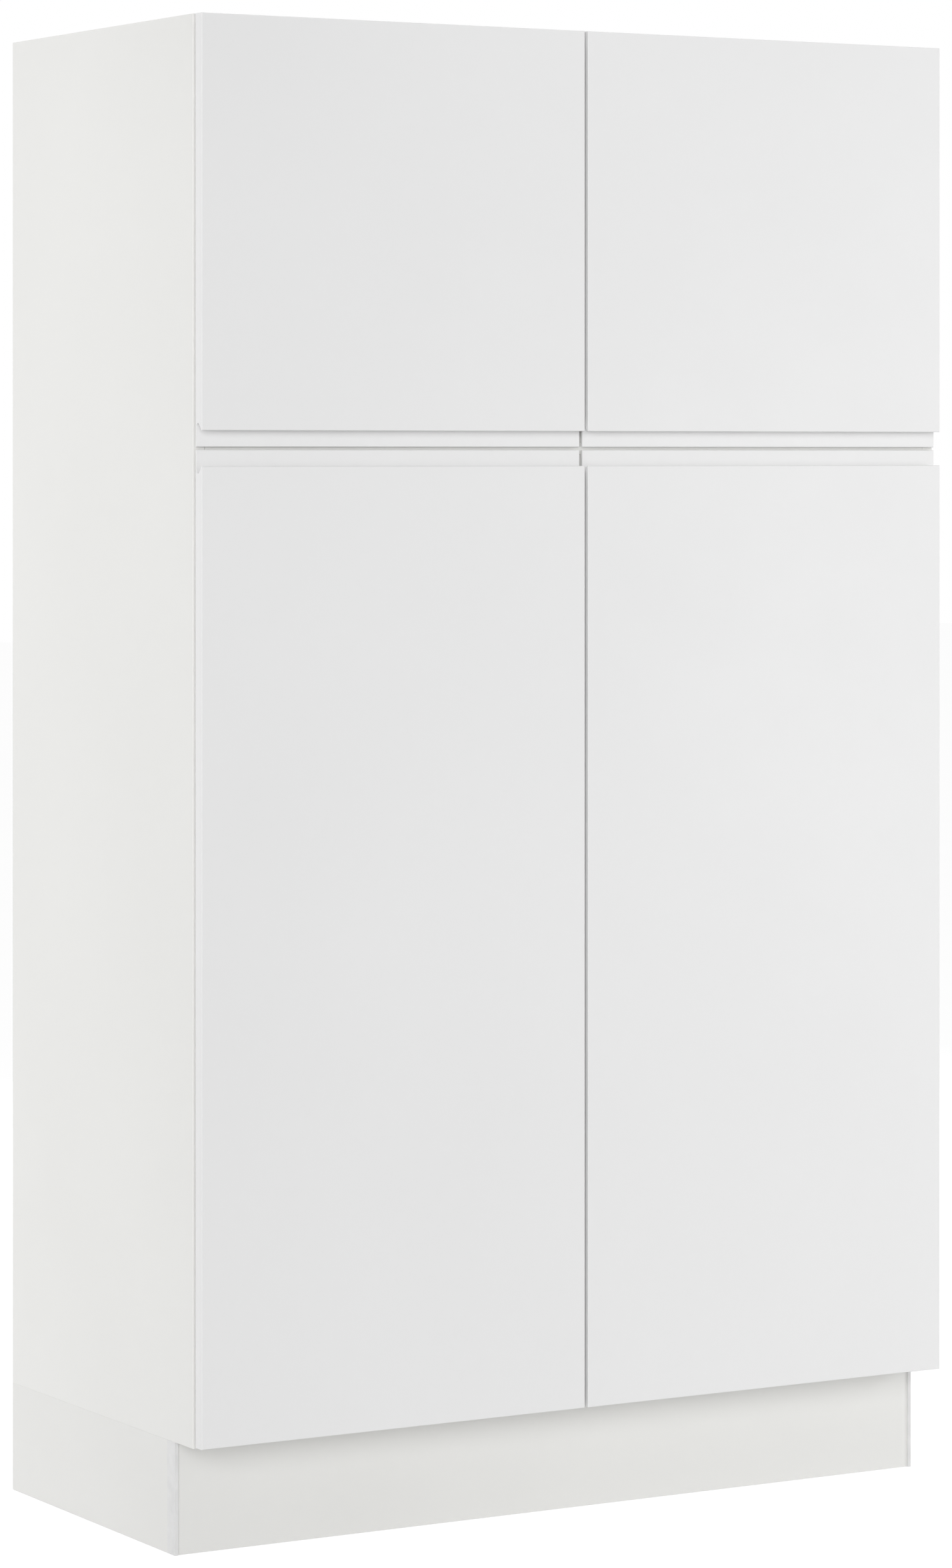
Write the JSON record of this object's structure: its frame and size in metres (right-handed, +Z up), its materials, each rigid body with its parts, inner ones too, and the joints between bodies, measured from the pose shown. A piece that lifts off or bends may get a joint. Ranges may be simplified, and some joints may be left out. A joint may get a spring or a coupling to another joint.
{
  "type": "tall utility cabinet",
  "caption": "Tall white handle-less kitchen utility cabinet with upper and lower pairs of hinged doors, routed grip edges, loose shelves and a recessed plinth on levelling feet",
  "frame": {"origin": "centre of the footprint on the floor", "axes": "X across the cabinet to the right as seen from the front, Y from the doors to the wall, Z up"},
  "size_m": [1.2, 0.584, 2.06],
  "materials": {
    "white_board": "satin white melamine on chipboard",
    "back_board": "white printed hardboard",
    "white_lacquer": "matt white lacquer on fibreboard",
    "plinth_board": "satin white foil on chipboard",
    "grey_cap": "light grey moulded plastic",
    "black_plastic": "fine-grained black plastic",
    "nickel_plated": "nickel-plated pressed steel",
    "zinc_steel": "zinc-plated steel",
    "clear_rubber": "soft clear pad"
  },
  "bodies": {
    "carcass": {"arm_pins": "zinc_steel", "bottom_panel": "white_board", "door_bumpers": "clear_rubber", "fixed_shelf": "white_board", "hinge_arms": "nickel_plated", "hinge_plates": "nickel_plated", "left_back_panel": "back_board", "left_side_panel": "white_board", "left_wall_rail": "white_board", "leg_sockets": "black_plastic", "lower_left_shelf_1": "white_board", "lower_left_shelf_2": "white_board", "lower_partition": "white_board", "lower_right_shelf_1": "white_board", "lower_right_shelf_2": "white_board", "plate_screws": "zinc_steel", "plinth_clips": "black_plastic", "plinth_front_board": "plinth_board", "plinth_left_end_cap": "grey_cap", "plinth_left_return": "plinth_board", "plinth_right_end_cap": "grey_cap", "plinth_right_return": "plinth_board", "right_back_panel": "back_board", "right_side_panel": "white_board", "right_wall_rail": "white_board", "shelf_pins": "zinc_steel", "top_panel": "white_board", "upper_left_shelf_1": "white_board", "upper_partition": "white_board", "upper_right_shelf_1": "white_board"},
    "upper_left_door": {"upper_left_door": "white_lacquer", "upper_left_hinge_cups": "nickel_plated", "upper_left_cup_pins": "zinc_steel", "upper_left_cup_screws": "zinc_steel"},
    "upper_left_inner_links": {"upper_left_inner_links": "zinc_steel"},
    "upper_left_outer_links": {"upper_left_outer_links": "zinc_steel"},
    "upper_right_door": {"upper_right_door": "white_lacquer", "upper_right_hinge_cups": "nickel_plated", "upper_right_cup_pins": "zinc_steel", "upper_right_cup_screws": "zinc_steel"},
    "upper_right_inner_links": {"upper_right_inner_links": "zinc_steel"},
    "upper_right_outer_links": {"upper_right_outer_links": "zinc_steel"},
    "lower_left_door": {"lower_left_door": "white_lacquer", "lower_left_hinge_cups": "nickel_plated", "lower_left_cup_pins": "zinc_steel", "lower_left_cup_screws": "zinc_steel"},
    "lower_left_inner_links": {"lower_left_inner_links": "zinc_steel"},
    "lower_left_outer_links": {"lower_left_outer_links": "zinc_steel"},
    "lower_right_door": {"lower_right_door": "white_lacquer", "lower_right_hinge_cups": "nickel_plated", "lower_right_cup_pins": "zinc_steel", "lower_right_cup_screws": "zinc_steel"},
    "lower_right_inner_links": {"lower_right_inner_links": "zinc_steel"},
    "lower_right_outer_links": {"lower_right_outer_links": "zinc_steel"},
    "front_left_foot": {"front_left_foot": "black_plastic"},
    "front_middle_foot": {"front_middle_foot": "black_plastic"},
    "front_right_foot": {"front_right_foot": "black_plastic"},
    "back_left_foot": {"back_left_foot": "black_plastic"},
    "back_middle_foot": {"back_middle_foot": "black_plastic"},
    "back_right_foot": {"back_right_foot": "black_plastic"}
  },
  "joints": [
    {"name": "upper_left_inner_link_turn", "type": "hinge", "parent": "carcass", "child": "upper_left_inner_links", "pos_m": [-0.5595, -0.2812, 1.7825], "axis": [0, 0, -1], "range_deg": [-31.4, 0.1]},
    {"name": "upper_left_door_swing", "type": "hinge", "parent": "upper_left_inner_links", "child": "upper_left_door", "pos_m": [-0.5846, -0.2804, 1.7825], "axis": [0, 0, -1], "range_deg": [0, 126.25]},
    {"name": "upper_left_outer_link_turn", "type": "hinge", "parent": "upper_left_door", "child": "upper_left_outer_links", "pos_m": [-0.584, -0.276, 1.7825], "axis": [0, 0, -1], "range_deg": [-130.7, 0.1]},
    {"name": "upper_right_inner_link_turn", "type": "hinge", "parent": "carcass", "child": "upper_right_inner_links", "pos_m": [0.5595, -0.2812, 1.7825], "axis": [0, 0, 1], "range_deg": [-31.4, 0.1]},
    {"name": "upper_right_door_swing", "type": "hinge", "parent": "upper_right_inner_links", "child": "upper_right_door", "pos_m": [0.5846, -0.2804, 1.7825], "axis": [0, 0, 1], "range_deg": [0, 126.25]},
    {"name": "upper_right_outer_link_turn", "type": "hinge", "parent": "upper_right_door", "child": "upper_right_outer_links", "pos_m": [0.584, -0.276, 1.7825], "axis": [0, 0, 1], "range_deg": [-130.7, 0.1]},
    {"name": "lower_left_inner_link_turn", "type": "hinge", "parent": "carcass", "child": "lower_left_inner_links", "pos_m": [-0.5595, -0.2812, 0.8065], "axis": [0, 0, -1], "range_deg": [-31.4, 0.1]},
    {"name": "lower_left_door_swing", "type": "hinge", "parent": "lower_left_inner_links", "child": "lower_left_door", "pos_m": [-0.5846, -0.2804, 0.8065], "axis": [0, 0, -1], "range_deg": [0, 126.25]},
    {"name": "lower_left_outer_link_turn", "type": "hinge", "parent": "lower_left_door", "child": "lower_left_outer_links", "pos_m": [-0.584, -0.276, 0.8065], "axis": [0, 0, -1], "range_deg": [-130.7, 0.1]},
    {"name": "lower_right_inner_link_turn", "type": "hinge", "parent": "carcass", "child": "lower_right_inner_links", "pos_m": [0.5595, -0.2812, 0.8065], "axis": [0, 0, 1], "range_deg": [-31.4, 0.1]},
    {"name": "lower_right_door_swing", "type": "hinge", "parent": "lower_right_inner_links", "child": "lower_right_door", "pos_m": [0.5846, -0.2804, 0.8065], "axis": [0, 0, 1], "range_deg": [0, 126.25]},
    {"name": "lower_right_outer_link_turn", "type": "hinge", "parent": "lower_right_door", "child": "lower_right_outer_links", "pos_m": [0.584, -0.276, 0.8065], "axis": [0, 0, 1], "range_deg": [-130.7, 0.1]},
    {"name": "front_left_foot_screw", "type": "slide", "parent": "carcass", "child": "front_left_foot", "axis": [0, 0, -1], "range_m": [0, 0.02]},
    {"name": "front_middle_foot_screw", "type": "slide", "parent": "carcass", "child": "front_middle_foot", "axis": [0, 0, -1], "range_m": [0, 0.02]},
    {"name": "front_right_foot_screw", "type": "slide", "parent": "carcass", "child": "front_right_foot", "axis": [0, 0, -1], "range_m": [0, 0.02]},
    {"name": "back_left_foot_screw", "type": "slide", "parent": "carcass", "child": "back_left_foot", "axis": [0, 0, -1], "range_m": [0, 0.02]},
    {"name": "back_middle_foot_screw", "type": "slide", "parent": "carcass", "child": "back_middle_foot", "axis": [0, 0, -1], "range_m": [0, 0.02]},
    {"name": "back_right_foot_screw", "type": "slide", "parent": "carcass", "child": "back_right_foot", "axis": [0, 0, -1], "range_m": [0, 0.02]}
  ],
  "couplings": [
    {"joint": "upper_left_inner_link_turn", "follows": "upper_left_door_swing", "ratio": -0.24752},
    {"joint": "upper_left_outer_link_turn", "follows": "upper_left_door_swing", "ratio": -1.0337},
    {"joint": "upper_right_inner_link_turn", "follows": "upper_right_door_swing", "ratio": -0.24752},
    {"joint": "upper_right_outer_link_turn", "follows": "upper_right_door_swing", "ratio": -1.0337},
    {"joint": "lower_left_inner_link_turn", "follows": "lower_left_door_swing", "ratio": -0.24752},
    {"joint": "lower_left_outer_link_turn", "follows": "lower_left_door_swing", "ratio": -1.0337},
    {"joint": "lower_right_inner_link_turn", "follows": "lower_right_door_swing", "ratio": -0.24752},
    {"joint": "lower_right_outer_link_turn", "follows": "lower_right_door_swing", "ratio": -1.0337}
  ]
}
